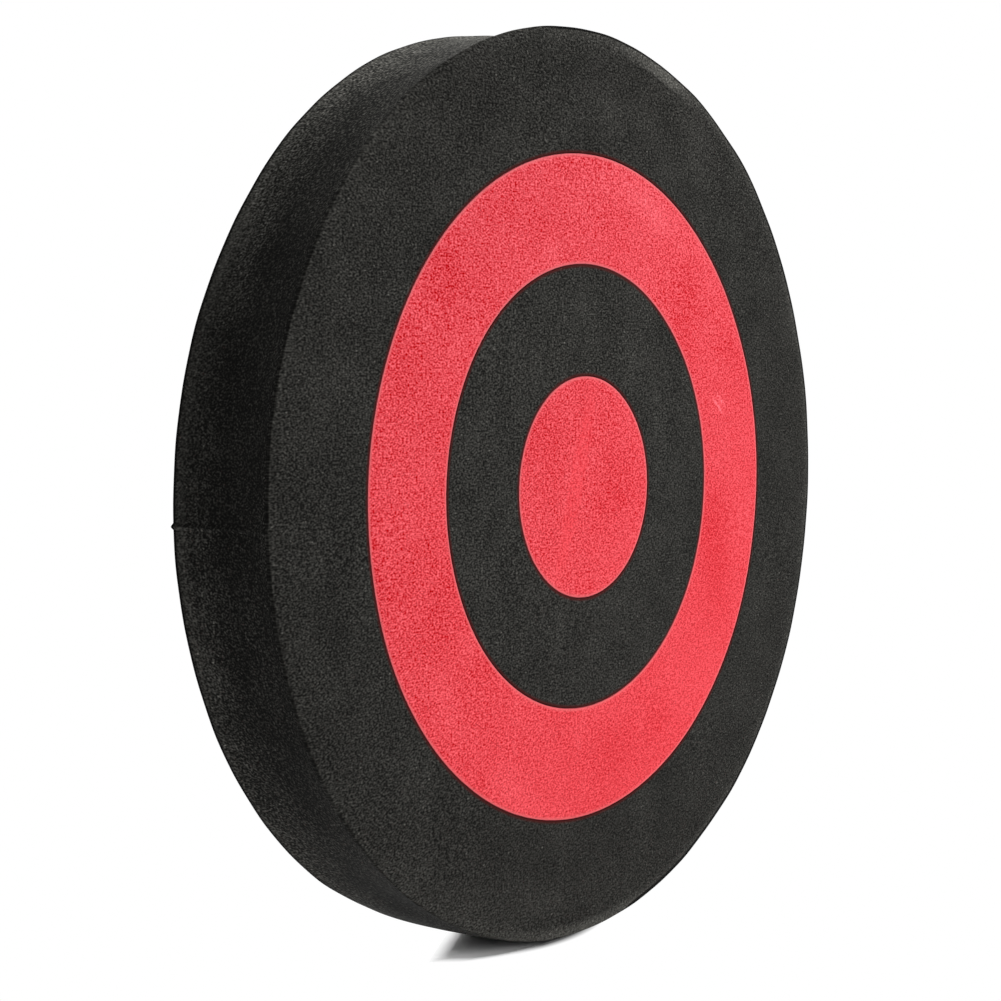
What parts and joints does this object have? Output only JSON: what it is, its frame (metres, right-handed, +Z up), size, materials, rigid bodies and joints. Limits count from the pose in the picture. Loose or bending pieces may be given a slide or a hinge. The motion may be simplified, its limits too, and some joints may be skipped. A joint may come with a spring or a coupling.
{
  "type": "archery target boss",
  "caption": "Round archery target boss of firm closed-cell foam, die-cut rings of two colours nested round a centre disc, standing on its dished rim.",
  "frame": {"origin": "middle of the foot that is pressed flat on the rim, half-way through the thickness", "axes": "+Z up, from the foot through the centre of the rings; +Y out of the back face, so the scoring face looks along -Y; +X to the right seen from the scoring face"},
  "size_m": [0.4008, 0.052, 0.3995],
  "materials": {
    "black_foam": "matt closed-cell foam, fine grain",
    "red_foam": "matt closed-cell foam, fine grain"
  },
  "bodies": {
    "root": {"outer_black_ring": "black_foam", "red_ring": "red_foam", "inner_black_ring": "black_foam", "red_centre": "red_foam"}
  },
  "joints": []
}
